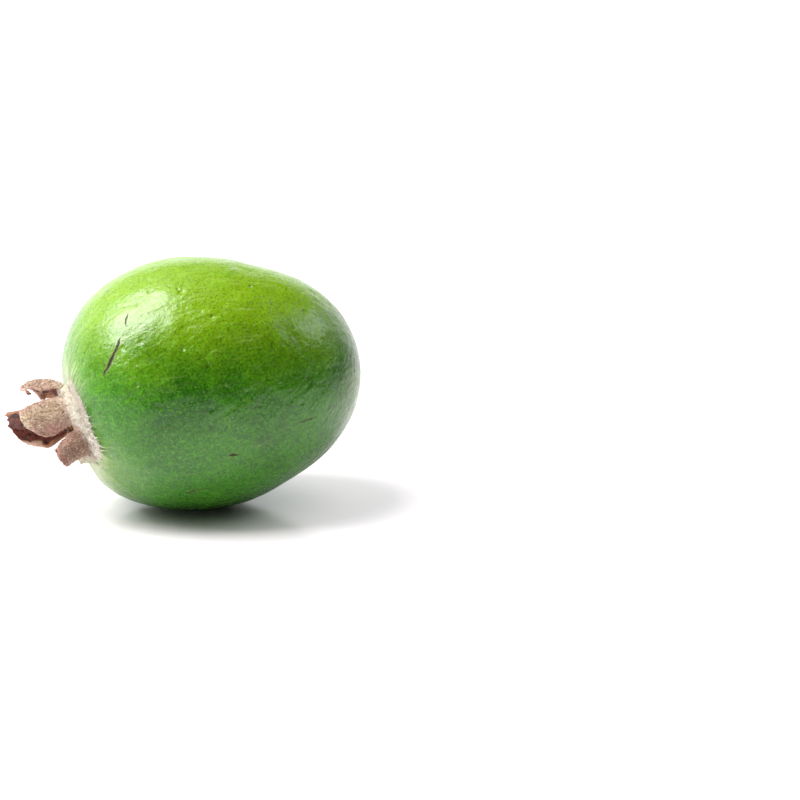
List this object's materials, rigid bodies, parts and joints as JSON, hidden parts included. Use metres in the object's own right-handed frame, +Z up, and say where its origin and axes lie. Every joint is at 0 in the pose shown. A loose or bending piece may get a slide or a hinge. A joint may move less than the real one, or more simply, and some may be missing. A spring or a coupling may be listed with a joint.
{
  "type": "feijoa",
  "caption": "Whole green feijoa fruit, egg-shaped with a felted crown and dried curled sepals, lying on its side on a small flat spot.",
  "frame": {"origin": "centre of the bounding box's bottom face, on the surface the fruit lies on", "axes": "+Z up, +X along the longest extent towards the stem end, with the calyx at -X"},
  "size_m": [0.069, 0.0492, 0.0496],
  "materials": {
    "skin": "satin",
    "calyx_felt": "matte",
    "sepal": "matte",
    "dried_flower": "matte"
  },
  "bodies": {
    "root": {"fruit_body": "skin", "calyx_cup": "calyx_felt", "sepal_upper": "sepal", "sepal_front": "sepal", "sepal_lower": "sepal", "sepal_back": "sepal", "style_stub": "dried_flower", "stamen_ring": "dried_flower"}
  },
  "joints": []
}
